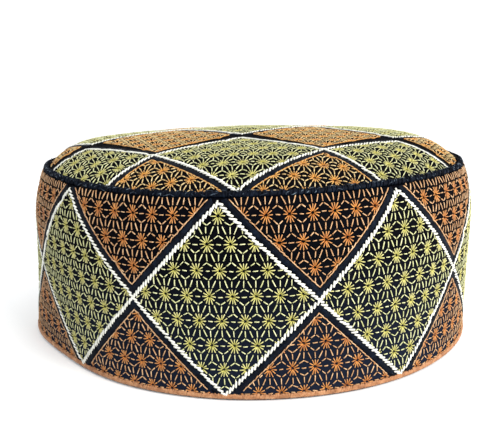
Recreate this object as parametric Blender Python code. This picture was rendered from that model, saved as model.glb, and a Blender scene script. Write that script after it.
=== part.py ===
"""Kufi cap: a soft oval cap of quilted, embroidered cloth.

It is built as the real one is sewn: an upright side band, a domed crown panel set inside the band's
top edge, a corded seam that joins the two, and a satin-stitched border round the hem.

Metres, +Z up. The cap rests on the flat lower edge of its band at Z = 0, and the origin is the middle
of the box round it. +X is the longer way across the opening, and -Y is the front.
"""

import math

import bmesh
import bpy

# Driving sizes of the cap
CAP_LENGTH = 0.1940
CAP_BREADTH = 0.1840
BAND_HEIGHT = 0.0720
DOME_RISE = 0.0137
BAND_THICKNESS = 0.0024
CROWN_THICKNESS = 0.0020

# The fold of the band's lower edge, which leaves a flat strip to rest on
RIM_ROUND = 0.0006

# The corded seam between band and crown
SEAM_HEIGHT = 0.0028
SEAM_WIDTH = 0.0022
SEAM_PROUD = 0.0003

# The border round the hem, above a narrow bare edge of cloth
HEM_HEIGHT = 0.0022
HEM_WIDTH = 0.0007
HEM_LIFT = 0.0004

# Air left between pieces that are sewn to each other
STITCH_GAP = 0.0003

# Upright shape of the band, from the rim to the seam, as shares of its height and girth
BAND_PROFILE = [
    {"height_share": 0.00, "girth_share": 1.000},
    {"height_share": 0.30, "girth_share": 0.987},
    {"height_share": 0.60, "girth_share": 0.979},
    {"height_share": 0.84, "girth_share": 0.965},
    {"height_share": 1.00, "girth_share": 0.922},
]

# How far the soft cloth stands out of a true oval at the rim and at the seam, as shares of the oval's
# radius, and how far the seam stands above the band's height, as a share of it, in even steps round
# the cap: direction 0 is the front, 90 the right end, 180 the back
SOFT_PLAN = [
    {"direction": 0, "rim_share": -0.025, "seam_share": 0.107, "lift_share": 0.004},
    {"direction": 30, "rim_share": -0.008, "seam_share": 0.077, "lift_share": 0.000},
    {"direction": 60, "rim_share": -0.027, "seam_share": 0.043, "lift_share": -0.002},
    {"direction": 90, "rim_share": -0.048, "seam_share": 0.006, "lift_share": 0.006},
    {"direction": 120, "rim_share": -0.001, "seam_share": -0.010, "lift_share": 0.000},
    {"direction": 150, "rim_share": -0.004, "seam_share": -0.007, "lift_share": -0.026},
    {"direction": 180, "rim_share": -0.004, "seam_share": -0.003, "lift_share": -0.008},
    {"direction": 210, "rim_share": -0.004, "seam_share": -0.002, "lift_share": 0.004},
    {"direction": 240, "rim_share": 0.003, "seam_share": -0.006, "lift_share": 0.024},
    {"direction": 270, "rim_share": 0.016, "seam_share": -0.039, "lift_share": 0.059},
    {"direction": 300, "rim_share": -0.076, "seam_share": 0.001, "lift_share": 0.039},
    {"direction": 330, "rim_share": -0.056, "seam_share": 0.056, "lift_share": 0.007},
]

# The crown's dome from its edge to its middle, as shares of its plan and its rise
CROWN_PROFILE = [
    {"plan_share": 0.00, "rise_share": 1.00},
    {"plan_share": 0.50, "rise_share": 0.81},
    {"plan_share": 0.80, "rise_share": 0.59},
    {"plan_share": 0.93, "rise_share": 0.23},
    {"plan_share": 1.00, "rise_share": 0.00},
]

# Fineness of the meshes
STEPS_AROUND = 80
BAND_STEPS = 8
CROWN_PLAN_STEPS = [0.22, 0.44, 0.63, 0.78, 0.89, 0.96, 1.00]
SEAM_SIDES = 8


def smooth_step_curve(before, start, end, after, share):
    """Cubic from start to end that leaves and arrives along its neighbours' slope."""
    leave = (end - before) / 2
    arrive = (after - start) / 2
    square = share * share
    cube = square * share
    return ((2 * cube - 3 * square + 1) * start + (cube - 2 * square + share) * leave
            + (3 * square - 2 * cube) * end + (cube - square) * arrive)


def read_table(table, column_in, column_out, value):
    """Smooth curve through a table's rows, whose first column rises."""
    last = len(table) - 1
    index = 0
    while index < last - 1 and value > table[index + 1][column_in]:
        index += 1
    rows = [table[max(0, min(last, index + k))] for k in (-1, 0, 1, 2)]
    span = rows[2][column_in] - rows[1][column_in]
    share = max(0.0, min(1.0, (value - rows[1][column_in]) / span))
    slopes = []
    for low, high in ((0, 2), (1, 3)):
        run = rows[high][column_in] - rows[low][column_in]
        slopes.append((rows[high][column_out] - rows[low][column_out]) / run * span)
    square = share * share
    cube = square * share
    return ((2 * cube - 3 * square + 1) * rows[1][column_out]
            + (cube - 2 * square + share) * slopes[0]
            + (3 * square - 2 * cube) * rows[2][column_out]
            + (cube - square) * slopes[1])


def soft_value(direction, column):
    """Smooth curve round the cap through a column of the soft plan."""
    turn = (direction / (2 * math.pi)) % 1.0 * len(SOFT_PLAN)
    index = int(turn)
    values = [SOFT_PLAN[(index + k) % len(SOFT_PLAN)][column] for k in (-1, 0, 1, 2)]
    return smooth_step_curve(*values, turn - index)


def band_ring(height, outward=0.0):
    """Closed ring of points on the band's outer face at a height, moved outward in plan."""
    height_share = height / BAND_HEIGHT
    girth = read_table(BAND_PROFILE, "height_share", "girth_share", height_share)
    half_length = CAP_LENGTH / 2
    half_breadth = CAP_BREADTH / 2
    plan = []
    heights = []
    for step in range(STEPS_AROUND):
        direction = 2 * math.pi * step / STEPS_AROUND
        across = math.sin(direction)
        ahead = -math.cos(direction)
        oval = half_length * half_breadth / math.hypot(half_breadth * across, half_length * ahead)
        rim = soft_value(direction, "rim_share")
        seam = soft_value(direction, "seam_share")
        radius = oval * girth * (1 + rim + (seam - rim) * height_share)
        plan.append((radius * across, radius * ahead))
        heights.append(height * (1 + soft_value(direction, "lift_share")))
    return [(x, y, z) for (x, y), z in zip(offset_ring(plan, outward), heights)]


def offset_ring(points, outward):
    """Move each point of a closed plan outline along the outline's own normal."""
    moved = []
    for index, (x, y) in enumerate(points):
        before = points[index - 1]
        after = points[(index + 1) % len(points)]
        along_x = after[0] - before[0]
        along_y = after[1] - before[1]
        length = math.hypot(along_x, along_y)
        moved.append((x + outward * along_y / length, y - outward * along_x / length))
    return moved


def side_band():
    """Upright wall with a folded lower edge, left open above and below."""
    top = BAND_HEIGHT - SEAM_HEIGHT / 2 - STITCH_GAP
    heights = [RIM_ROUND + (top - RIM_ROUND) * step / BAND_STEPS for step in range(BAND_STEPS + 1)]
    rings = [band_ring(0.0, -RIM_ROUND)]
    rings += [band_ring(height) for height in heights]
    rings += [band_ring(height, -BAND_THICKNESS) for height in reversed(heights)]
    rings.append(band_ring(0.0, RIM_ROUND - BAND_THICKNESS))
    return ring_solid(rings)


def hem_border():
    """Low rounded strip that lies on the band just above its lower edge."""
    section = [
        {"out_share": 0.0, "height_share": 0.0},
        {"out_share": 0.6, "height_share": 0.0},
        {"out_share": 1.0, "height_share": 0.3},
        {"out_share": 1.0, "height_share": 0.7},
        {"out_share": 0.6, "height_share": 1.0},
        {"out_share": 0.0, "height_share": 1.0},
    ]
    rings = []
    for point in section:
        height = HEM_LIFT + HEM_HEIGHT * point["height_share"]
        rings.append(band_ring(height, STITCH_GAP + HEM_WIDTH * point["out_share"]))
    return ring_solid(rings)


def crown_seam():
    """Round cord of overcast cloth on the band's top edge, round the crown's edge."""
    middle = SEAM_PROUD - SEAM_WIDTH / 2
    rings = []
    for side in range(SEAM_SIDES):
        turn = 2 * math.pi * (side + 0.5) / SEAM_SIDES
        ring = band_ring(BAND_HEIGHT, middle + SEAM_WIDTH / 2 * math.cos(turn))
        rise = SEAM_HEIGHT / 2 * math.sin(turn)
        rings.append([(x, y, z + rise) for x, y, z in ring])
    return ring_solid(rings)


def crown_panel():
    """Domed panel with a turned-down edge, as one closed shell open to the head below."""
    edge = SEAM_PROUD - SEAM_WIDTH - STITCH_GAP
    outer = band_ring(BAND_HEIGHT, edge)
    inner = band_ring(BAND_HEIGHT, edge - CROWN_THICKNESS)
    lower = -SEAM_HEIGHT / 2
    rings = [dome_ring(outer, share, DOME_RISE) for share in CROWN_PLAN_STEPS]
    rings.append([(x, y, z + lower) for x, y, z in outer])
    rings.append([(x, y, z + lower) for x, y, z in inner])
    rings += [dome_ring(inner, share, DOME_RISE - CROWN_THICKNESS) for share in reversed(CROWN_PLAN_STEPS)]
    top = dome_ring(outer, 0.0, DOME_RISE)[0]
    underside = dome_ring(inner, 0.0, DOME_RISE - CROWN_THICKNESS)[0]
    return capped_solid(rings, top, underside)


def dome_ring(edge_ring, plan_share, rise):
    """The crown's edge ring drawn in towards its middle and lifted onto the dome."""
    middle_x = sum(point[0] for point in edge_ring) / len(edge_ring)
    middle_y = sum(point[1] for point in edge_ring) / len(edge_ring)
    lift = rise * read_table(CROWN_PROFILE, "plan_share", "rise_share", plan_share)
    ring = []
    for x, y, z in edge_ring:
        level = BAND_HEIGHT + (z - BAND_HEIGHT) * plan_share ** 2
        ring.append((middle_x + (x - middle_x) * plan_share,
                     middle_y + (y - middle_y) * plan_share, level + lift))
    return ring


def ring_solid(rings):
    """Points and faces of a closed hoop whose section runs through the rings and back."""
    points = [point for ring in rings for point in ring]
    faces = []
    for ring in range(len(rings)):
        faces += strip_between(ring, (ring + 1) % len(rings))
    return points, faces


def capped_solid(rings, first_point, last_point):
    """Points and faces of a shell that is closed by a fan on its first and last ring."""
    points = [point for ring in rings for point in ring]
    faces = []
    for ring in range(len(rings) - 1):
        faces += strip_between(ring, ring + 1)
    for ring, point in ((0, first_point), (len(rings) - 1, last_point)):
        points.append(point)
        start = ring * STEPS_AROUND
        for step in range(STEPS_AROUND):
            faces.append((len(points) - 1, start + step, start + (step + 1) % STEPS_AROUND))
    return points, faces


def strip_between(lower_ring, upper_ring):
    """Quads between two rings of points."""
    faces = []
    for step in range(STEPS_AROUND):
        following = (step + 1) % STEPS_AROUND
        lower = lower_ring * STEPS_AROUND
        upper = upper_ring * STEPS_AROUND
        faces.append((lower + step, lower + following, upper + following, upper + step))
    return faces


def box_middle(solids):
    """Middle in plan of the box round every piece."""
    middles = []
    for axis in (0, 1):
        values = [point[axis] for points, _ in solids.values() for point in points]
        middles.append((min(values) + max(values)) / 2)
    return middles


def cloth_material(name, colour, roughness, sheen):
    """Plain Principled material for one piece of cloth or thread."""
    material = bpy.data.materials.new(name)
    material.use_nodes = True
    shader = material.node_tree.nodes["Principled BSDF"]
    shader.inputs["Base Color"].default_value = (*colour, 1.0)
    shader.inputs["Roughness"].default_value = roughness
    shader.inputs["Metallic"].default_value = 0.0
    shader.inputs["Sheen Weight"].default_value = sheen
    material.diffuse_color = (*colour, 1.0)
    return material


def add_piece(name, solid, middle, material):
    """Make one object from points and faces, with the cap's middle at the origin."""
    points, faces = solid
    mesh = bpy.data.meshes.new(name)
    mesh.from_pydata([(x - middle[0], y - middle[1], z) for x, y, z in points], [], faces)
    shape = bmesh.new()
    shape.from_mesh(mesh)
    bmesh.ops.recalc_face_normals(shape, faces=shape.faces)
    shape.to_mesh(mesh)
    shape.free()
    mesh.shade_smooth()
    mesh.set_sharp_from_angle(angle=math.radians(50))
    mesh.materials.append(material)
    piece = bpy.data.objects.new(name, mesh)
    bpy.context.scene.collection.objects.link(piece)
    return piece


def build():
    """Model the whole cap."""
    for old in list(bpy.data.objects):
        bpy.data.objects.remove(old, do_unlink=True)
    solids = {
        "side_band": side_band(),
        "crown_panel": crown_panel(),
        "crown_seam": crown_seam(),
        "hem_border": hem_border(),
    }
    materials = {
        "side_band": cloth_material("band_cloth", (0.19, 0.14, 0.06), 0.80, 0.30),
        "crown_panel": cloth_material("crown_cloth", (0.22, 0.17, 0.08), 0.80, 0.30),
        "crown_seam": cloth_material("seam_thread", (0.012, 0.016, 0.032), 0.60, 0.20),
        "hem_border": cloth_material("hem_thread", (0.50, 0.22, 0.10), 0.50, 0.20),
    }
    middle = box_middle(solids)
    for name, solid in solids.items():
        add_piece(name, solid, middle, materials[name])


build()
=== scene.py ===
"""Looks of a kufi cap: its cloth, corded seam, hem and embroidery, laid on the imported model's own surfaces."""

import math

import bpy
import numpy as np
from mathutils import Matrix, Vector
from mathutils.bvhtree import BVHTree


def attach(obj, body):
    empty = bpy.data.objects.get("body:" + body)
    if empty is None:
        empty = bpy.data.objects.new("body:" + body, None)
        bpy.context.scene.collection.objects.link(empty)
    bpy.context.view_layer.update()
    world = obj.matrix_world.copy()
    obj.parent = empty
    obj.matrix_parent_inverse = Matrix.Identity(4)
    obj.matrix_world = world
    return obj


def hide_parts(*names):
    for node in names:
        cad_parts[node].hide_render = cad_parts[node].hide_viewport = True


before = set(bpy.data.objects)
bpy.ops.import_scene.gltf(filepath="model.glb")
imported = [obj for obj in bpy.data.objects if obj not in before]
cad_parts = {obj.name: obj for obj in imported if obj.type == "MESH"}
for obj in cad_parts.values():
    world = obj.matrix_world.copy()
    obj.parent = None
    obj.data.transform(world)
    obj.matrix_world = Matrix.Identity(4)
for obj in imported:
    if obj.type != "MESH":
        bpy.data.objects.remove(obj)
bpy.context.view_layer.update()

SEED = 9
MM = 0.001

# Camera: where it stands, how far it looks down and leans, and its focal length in pixels of the photo
CAMERA_PLACE = Vector((0.0028, -0.3131, 0.1120))
CAMERA_PITCH = 0.2121
CAMERA_ROLL = -0.0335
FOCAL_PIXELS = 713.0
IMAGE_WIDTH = 500
SENSOR_WIDTH = 36.0

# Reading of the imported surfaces
RAY_DISTANCE = 0.2
ROUND_SAMPLES = 160
ROUND_WAVES = 16
HEIGHT_POWERS = 6
LOWEST_LEVEL = 0.012
HIGHEST_LEVEL = 0.965
SEAM_BULGE = 0.2 * MM
DOME_WAVES = 8
DOME_POWERS = 7

# Cloth
BAND_THICKNESS = 2.4 * MM
CROWN_THICKNESS = 2.0 * MM
BAND_COLUMNS = 720
BAND_ROWS = 84
CROWN_COLUMNS = 480
CROWN_ROWS = 80
INNER_ROWS = 12
RIM_ROUND = 0.6 * MM
BAND_TOP_LEVEL = 0.988

# Embroidery grid on the band: columns of stars round the cap and rows from the seam down
WALL_LOZENGES = 9
PHOTO_COLUMNS = 75.2
STAR_COLUMNS = 75
STAR_ROW = 9.07 * MM
FIRST_ROW_HEIGHT = 66.4 * MM
FIRST_COLUMN = -4.484
COLUMN_SHEAR = -0.0055
SHEAR_ROW = 4
LOZENGE_COLUMN = 3.514
LOZENGE_TOP = 70.75 * MM
LOZENGE_BOTTOM = 2.3 * MM
FRONT_SHARE = 0.28

# Embroidery grid on the crown
CROWN_CENTRE = (-2.6 * MM, -55.0 * MM)
CROWN_TURN = -0.0255
CROWN_LOZENGE = (61.5 * MM, 68.7 * MM)
CROWN_BACK_GAP = 9.0 * MM
CROWN_STAR = (1.9 * MM, -15.9 * MM)
CROWN_COLUMN = 6.9 * MM
CROWN_REACH = 0.105

# One star: where each line leads in columns and rows, how long its ray is, and the share of it under a dash
STAR_REPEAT = [
    {"across": 1.0, "up": 0.0, "ray": 2.35 * MM, "dash": (0.39, 0.61)},
    {"across": 0.5, "up": 1.0, "ray": 3.0 * MM, "dash": (0.345, 0.655)},
    {"across": -0.5, "up": 1.0, "ray": 3.0 * MM, "dash": (0.345, 0.655)},
    {"across": -1.0, "up": 0.0, "ray": 2.35 * MM, "dash": None},
    {"across": -0.5, "up": -1.0, "ray": 3.0 * MM, "dash": None},
    {"across": 0.5, "up": -1.0, "ray": 3.0 * MM, "dash": None},
    {"across": 0.0, "up": 2 / 3, "ray": 2.85 * MM, "dash": (0.53, 0.96)},
    {"across": 0.5, "up": 1 / 3, "ray": 2.45 * MM, "dash": (0.59, 0.97)},
    {"across": 0.5, "up": -1 / 3, "ray": 2.45 * MM, "dash": (0.59, 0.97)},
    {"across": 0.0, "up": -2 / 3, "ray": 2.85 * MM, "dash": (0.53, 0.96)},
    {"across": -0.5, "up": -1 / 3, "ray": 2.45 * MM, "dash": (0.59, 0.97)},
    {"across": -0.5, "up": 1 / 3, "ray": 2.45 * MM, "dash": (0.59, 0.97)},
]
RAY_START = 0.42 * MM
SHORTEST_STITCH = 0.7 * MM
STITCH_JITTER = 0.10 * MM
THREAD_HALF_WIDTH = 0.225 * MM
THREAD_HALF_HEIGHT = 0.17 * MM

# Borders between the lozenges
BORDER_PITCH = 1.6 * MM
BORDER_STITCH = 2.7 * MM
BORDER_SLANT = math.radians(30)
BORDER_HALF_WIDTH = 0.41 * MM
NAVY_START = 0.8 * MM
NAVY_END = 2.9 * MM
NAVY_PITCH = 0.5 * MM
OUTLINE_OFFSET = 3.25 * MM
OUTLINE_PITCH = 1.9 * MM
OLIVE_MARGIN = 0.5 * MM
CROWN_COPPER_MARGIN = 3.0 * MM

# Seam and hem
SEAM_HALF_WIDTH = 1.0 * MM
SEAM_HALF_HEIGHT = 1.15 * MM
SEAM_SUNK = 0.25 * MM
SEAM_COLUMNS = 480
SEAM_SIDES = 10
SEAM_WRAPS = 380
# Pale flecks on the seam are painted highlights: the sheen on its dark overcast threads
SHEEN_FLECK_WRAPS = 330
HEM_LOW = 0.7 * MM
HEM_HIGH = 2.7 * MM
HEM_PITCH = 0.45 * MM

rng = np.random.default_rng(SEED)


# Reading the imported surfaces

def node_points(name):
    """Corner points of a CAD node in the shared frame."""
    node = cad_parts[name]
    return np.array([node.matrix_world @ vertex.co for vertex in node.data.vertices])


def node_tree(name):
    """Search tree over a CAD node's faces."""
    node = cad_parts[name]
    points = [node.matrix_world @ vertex.co for vertex in node.data.vertices]
    return BVHTree.FromPolygons(points, [face.vertices[:] for face in node.data.polygons])


def outward(direction):
    """Unit vector in plan; direction 0 is the front and a quarter turn the right end."""
    return np.stack([np.sin(direction), -np.cos(direction), 0 * direction], -1)


def round_basis(direction, waves):
    """Smooth waves round the cap, one column for each."""
    columns = [np.ones_like(direction)]
    for wave in range(1, waves + 1):
        columns += [np.cos(wave * direction), np.sin(wave * direction)]
    return np.stack(columns, -1)


def smooth_round(direction, value, waves):
    """Smooth closed curve through values measured round the cap."""
    weights = np.linalg.lstsq(round_basis(direction, waves), value, rcond=None)[0]
    return lambda at: round_basis(at, waves) @ weights


def smooth_surface(shares, rings, waves, powers):
    """Smooth surface through rings of values, each ring taken at the even directions round the cap."""
    each_ring = [np.linalg.lstsq(round_basis(directions, waves), ring, rcond=None)[0] for ring in rings]
    rising = np.stack([shares ** power for power in range(powers)], -1)
    weights = np.linalg.lstsq(rising, np.array(each_ring), rcond=None)[0]

    def value_at(at, along):
        powers_there = np.stack([along ** power for power in range(powers)], -1)
        return ((powers_there @ weights) * round_basis(at, waves)).sum(-1)

    return value_at


def ray_radius(tree, direction, height):
    """Distance from the axis to the outer face, looking in from outside."""
    out = outward(np.array(direction))
    start = Vector(out * RAY_DISTANCE) + Vector((0, 0, height))
    hit = tree.ray_cast(start, Vector(-out))[0]
    return math.hypot(hit.x, hit.y)


directions = np.arange(ROUND_SAMPLES) * 2 * math.pi / ROUND_SAMPLES
seam_points = node_points("crown_seam")
seam_height = smooth_round(np.arctan2(seam_points[:, 0], -seam_points[:, 1]), seam_points[:, 2], DOME_WAVES)
seam_tree = node_tree("crown_seam")
seam_outer = smooth_round(
    directions, np.array([ray_radius(seam_tree, d, h) for d, h in zip(directions, seam_height(directions))]),
    ROUND_WAVES)


def read_band():
    """Radius of the band's outer face by direction and by share of the height up to the seam."""
    tree = node_tree("side_band")
    levels = np.append(np.linspace(LOWEST_LEVEL, HIGHEST_LEVEL, 16), 1.0)
    rings = []
    for level in levels[:-1]:
        heights = seam_height(directions) * level
        rings.append(np.array([ray_radius(tree, d, h) for d, h in zip(directions, heights)]))
    rings.append(seam_outer(directions) - SEAM_BULGE)
    return smooth_surface(levels, rings, ROUND_WAVES, HEIGHT_POWERS)


band_radius = read_band()


def band_point(direction, level):
    """Point on the band's outer face."""
    place = outward(direction) * band_radius(direction, level)[..., None]
    place[..., 2] = seam_height(direction) * level
    return place


def read_crown():
    """The crown's middle in plan, its edge radius by direction and its height by direction and share."""
    tree = node_tree("crown_panel")
    edge = np.array([ray_radius(tree, d, seam_height(np.array(d)) - SEAM_HALF_HEIGHT / 2) for d in directions])
    edge_points = outward(directions) * edge[:, None]
    middle = edge_points.mean(0)
    arms = edge_points - middle
    turned = np.arctan2(arms[:, 0], -arms[:, 1])
    edge_radius = smooth_round(turned, np.hypot(arms[:, 0], arms[:, 1]), ROUND_WAVES)
    rings = []
    shares = np.linspace(0.0, 0.99, 26)
    for share in shares:
        places = middle + outward(directions) * (edge_radius(directions) * share)[:, None]
        hits = [tree.ray_cast(Vector((x, y, RAY_DISTANCE)), Vector((0, 0, -1)))[0] for x, y, _ in places]
        rings.append(np.array([hit.z for hit in hits]))
    return middle, edge_radius, smooth_surface(shares, rings, DOME_WAVES, DOME_POWERS)


crown_middle, crown_edge, crown_height = read_crown()


def crown_point(direction, share):
    """Point on the crown's outer face."""
    place = crown_middle + outward(direction) * (crown_edge(direction) * share)[..., None]
    place[..., 2] = crown_height(direction, share)
    return place


# Cloth laid flat: grids of places and normals by distance along the cloth

def unit(vectors):
    """Vectors scaled to length one."""
    return vectors / np.maximum(np.linalg.norm(vectors, axis=-1, keepdims=True), 1e-12)


def read_grid(grid, row, column):
    """Values between a grid's rows and columns."""
    row = np.clip(row, 0, grid.shape[0] - 1.000001)
    column = np.clip(column, 0, grid.shape[1] - 1.000001)
    low, left = np.floor(row).astype(int), np.floor(column).astype(int)
    up, over = row - low, column - left
    if grid.ndim == 3:
        up, over = up[..., None], over[..., None]
    return ((grid[low, left] * (1 - over) + grid[low, left + 1] * over) * (1 - up)
            + (grid[low + 1, left] * (1 - over) + grid[low + 1, left + 1] * over) * up)


def grid_normals(places):
    """Outward unit normals of a grid whose columns run to the right and rows up the cloth."""
    return unit(np.cross(np.gradient(places, axis=1), np.gradient(places, axis=0)))


PATCH_COLUMNS = 1440
PATCH_ROWS = 96
turn = np.linspace(-math.pi, math.pi, PATCH_COLUMNS + 1)
front_levels = np.linspace(0.0, 1.0, 201)
front_line = band_point(0 * front_levels, front_levels)
front_length = np.concatenate([[0], np.cumsum(np.linalg.norm(np.diff(front_line, axis=0), axis=1))])
BAND_REACH = front_length[-1]


def lay_band():
    """Band grid: rows evenly up the front's length, columns as even shares of the way round."""
    levels = np.interp(np.linspace(0, BAND_REACH, PATCH_ROWS + 1), front_length, front_levels)
    rows, girths = [], []
    for level in levels:
        ring = band_point(turn, level + 0 * turn)
        steps = np.concatenate([[0], np.cumsum(np.linalg.norm(np.diff(ring[:, :2], axis=0), axis=1))])
        front = np.interp(0.0, turn, steps)
        share = (steps - front) / steps[-1]
        wanted = np.linspace(-0.5, 0.5, PATCH_COLUMNS + 1)
        even = np.interp(wanted, np.concatenate([share - 1, share[1:], share[1:] + 1]),
                         np.concatenate([turn - 2 * math.pi, turn[1:], turn[1:] + 2 * math.pi]))
        rows.append(band_point(even, level + 0 * even))
        girths.append(steps[-1])
    return np.array(rows), np.array(girths)


band_grid, band_girths = lay_band()
wrapped_grid = np.concatenate([band_grid[:, -3:-1], band_grid, band_grid[:, 1:3]], axis=1)
band_normals = grid_normals(wrapped_grid)[:, 2:-2]


def girth_at(height):
    """Way round the band at a height up the cloth."""
    return np.interp(height, np.linspace(0, BAND_REACH, PATCH_ROWS + 1), band_girths)


def on_band(share, height, lift):
    """Point on the band's cloth: share of a turn from the front, height up the cloth, lift off it."""
    column = ((share + 0.5) % 1.0) * PATCH_COLUMNS
    row = height / BAND_REACH * PATCH_ROWS
    raised = lift + band_puffs(share, height)
    normal = unit(read_grid(band_normals, row, column))
    return read_grid(band_grid, row, column) + normal * raised[..., None], normal


DOME_STEPS = 120
DOME_DIRECTIONS = 360
FLAT_STEP = 1.0 * MM


def lay_crown():
    """Crown grid by flat distance from its middle, with each place's share of the way to the edge."""
    at = np.linspace(0, 2 * math.pi, DOME_DIRECTIONS + 1)
    shares = np.linspace(0, 1, DOME_STEPS + 1)
    places = crown_point(*np.meshgrid(at, shares, indexing="ij"))
    lengths = np.linalg.norm(np.diff(places, axis=1), axis=2).cumsum(1)
    lengths = np.concatenate([0 * lengths[:, :1], lengths], axis=1)
    reaches = np.linspace(0, CROWN_REACH, DOME_STEPS + 1)
    share_by_reach = np.array([np.interp(reaches, row, shares) for row in lengths])
    side = np.arange(-CROWN_REACH, CROWN_REACH + FLAT_STEP / 2, FLAT_STEP)
    across, back = np.meshgrid(side, side)
    direction = np.arctan2(across, -back) % (2 * math.pi)
    reach = np.minimum(np.hypot(across, back), CROWN_REACH)
    share = read_grid(share_by_reach, direction / (2 * math.pi) * DOME_DIRECTIONS, reach / CROWN_REACH * DOME_STEPS)
    edge_reach = np.interp(direction, at, lengths[:, -1])
    return crown_point(direction, share), edge_reach - reach


crown_grid, crown_room = lay_crown()
crown_normals = grid_normals(crown_grid)


def flat_place(across, up):
    """Turn a place in the crown's lozenge grid into rows and columns of the crown's cloth."""
    cosine, sine = math.cos(CROWN_TURN), math.sin(CROWN_TURN)
    x = CROWN_CENTRE[0] + cosine * across - sine * up
    y = CROWN_CENTRE[1] + sine * across + cosine * up
    return (y + CROWN_REACH) / FLAT_STEP, (x + CROWN_REACH) / FLAT_STEP


def on_crown(across, up, lift):
    """Point on the crown's cloth by its place in the lozenge grid."""
    row, column = flat_place(across, up)
    normal = unit(read_grid(crown_normals, row, column))
    raised = lift + crown_puffs(across, up)
    return read_grid(crown_grid, row, column) + normal * raised[..., None], normal


# Heights on the wall between which the painted light on the navy cloth fades out: a lighter, bluer tone low on the
# wall that stands for bounce light from the floor
PAINTED_LIGHT_LOW = 0.004
PAINTED_LIGHT_HIGH = 0.050

# Lozenges, stars and the small puffs that the stitches leave in the cloth

PUFF = 0.12 * MM
DIMPLE = 0.35 * MM
DIMPLE_RADIUS = 1.2 * MM
back_share = 0.5
warp_shares = np.array([-back_share, -FRONT_SHARE, FRONT_SHARE, back_share])
warp_columns = np.array([-STAR_COLUMNS / 2, -FRONT_SHARE * PHOTO_COLUMNS, FRONT_SHARE * PHOTO_COLUMNS,
                         STAR_COLUMNS / 2])


def band_share(column, height):
    """Share of a turn where a star column stands at a height, with the back's columns eased to fit."""
    row = (FIRST_ROW_HEIGHT - height) / STAR_ROW + 1
    place = column + FIRST_COLUMN + COLUMN_SHEAR * (row - SHEAR_ROW)
    place = (place + STAR_COLUMNS / 2) % STAR_COLUMNS - STAR_COLUMNS / 2
    return np.interp(place, warp_columns, warp_shares)


def band_column(share, height):
    """Star column at a share of a turn: the other way round from band_share."""
    row = (FIRST_ROW_HEIGHT - height) / STAR_ROW + 1
    place = np.interp((share + 0.5) % 1.0 - 0.5, warp_shares, warp_columns)
    return place - FIRST_COLUMN - COLUMN_SHEAR * (row - SHEAR_ROW)


LOZENGE_MIDDLE = (LOZENGE_TOP + LOZENGE_BOTTOM) / 2
LOZENGE_HALF_HEIGHT = (LOZENGE_TOP - LOZENGE_BOTTOM) / 2


def lozenge_share(index, height):
    """Share of a turn where the middle of an olive lozenge stands at a height."""
    row = (FIRST_ROW_HEIGHT - height) / STAR_ROW + 1
    columns = index * PHOTO_COLUMNS / WALL_LOZENGES + LOZENGE_COLUMN + FIRST_COLUMN
    return (columns + COLUMN_SHEAR * (row - SHEAR_ROW)) / PHOTO_COLUMNS


def band_inside(share, height):
    """Distance into the nearest olive lozenge of the band; below zero in the copper ones."""
    across = (share - lozenge_share(0, height)) * WALL_LOZENGES
    across = np.abs(across - np.round(across)) * 2
    up = np.abs(height - LOZENGE_MIDDLE) / LOZENGE_HALF_HEIGHT
    half_width = girth_at(height) / WALL_LOZENGES / 2
    return (1 - across - up) * half_width * LOZENGE_HALF_HEIGHT / np.hypot(half_width, LOZENGE_HALF_HEIGHT)


def crown_inside(across, up):
    """Distance into the nearest olive lozenge of the crown; below zero in the copper ones."""
    half_width, half_height = CROWN_LOZENGE[0] / 2, CROWN_LOZENGE[1] / 2
    x, y = across / half_width, up / half_height
    x = np.abs(x - 2 * np.round(x / 2))
    y = np.abs(y - 2 * np.round(y / 2))
    return (1 - x - y) * half_width * half_height / math.hypot(half_width, half_height)


def crown_olive_inside(across, up):
    """Distance into the nearest olive lozenge of the crown, which stops short of its back corner."""
    half_width, half_height = CROWN_LOZENGE[0] / 2, CROWN_LOZENGE[1] / 2
    x, y = across / half_width, up / half_height
    odd = np.abs(x - 2 * np.round(x / 2)) + np.abs(y - 2 * np.round(y / 2)) > 1
    column, row = np.where(odd, 2 * np.floor(x / 2) + 1, 2 * np.round(x / 2)), 2 * np.round(y / 2)
    row = np.where(odd, 2 * np.floor(y / 2) + 1, row)
    plain = crown_inside(across, up)
    back = np.where(odd, 0.0, y - row)
    shortened = (1 - np.abs(x - column) - np.maximum(back, 0) * half_height / (half_height - CROWN_BACK_GAP))
    scale = half_width * half_height / math.hypot(half_width, half_height)
    return np.where((back > 0) & ~odd, np.minimum(plain, shortened * scale), plain)


def star_distance(column, row, column_size, shift_rows):
    """Distance to the nearest star in a grid whose alternate rows stand half a column over."""
    nearest = None
    for step in (-1, 0, 1):
        near_row = np.round(row) + step
        shift = 0.5 * ((near_row + shift_rows) % 2)
        near_column = np.round(column - shift) + shift
        gap = np.hypot((column - near_column) * column_size, (row - near_row) * STAR_ROW)
        nearest = gap if nearest is None else np.minimum(nearest, gap)
    return nearest


def puffs(distance):
    """Height of the cloth: drawn in at a star's middle and slightly full between stars."""
    return PUFF - (PUFF + DIMPLE) * np.exp(-(distance / DIMPLE_RADIUS) ** 2)


def band_puffs(share, height):
    """Height of the band's puffs, fading out at the rim and the seam."""
    column = band_column(share, height)
    row = (FIRST_ROW_HEIGHT - height) / STAR_ROW + 1
    fade = np.clip(height / (3 * MM), 0, 1) * np.clip((BAND_REACH - height) / (3 * MM), 0, 1)
    return puffs(star_distance(column, row, girth_at(height) / STAR_COLUMNS, 0)) * fade


def crown_puffs(across, up):
    """Height of the crown's puffs, fading out at the seam."""
    column = (across - CROWN_STAR[0]) / CROWN_COLUMN
    row = (CROWN_STAR[1] - up) / STAR_ROW
    room = read_grid(crown_room, *flat_place(across, up))
    fade = np.clip(room / (3 * MM), 0, 1)
    return puffs(star_distance(column, row, CROWN_COLUMN, 0)) * fade


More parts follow.
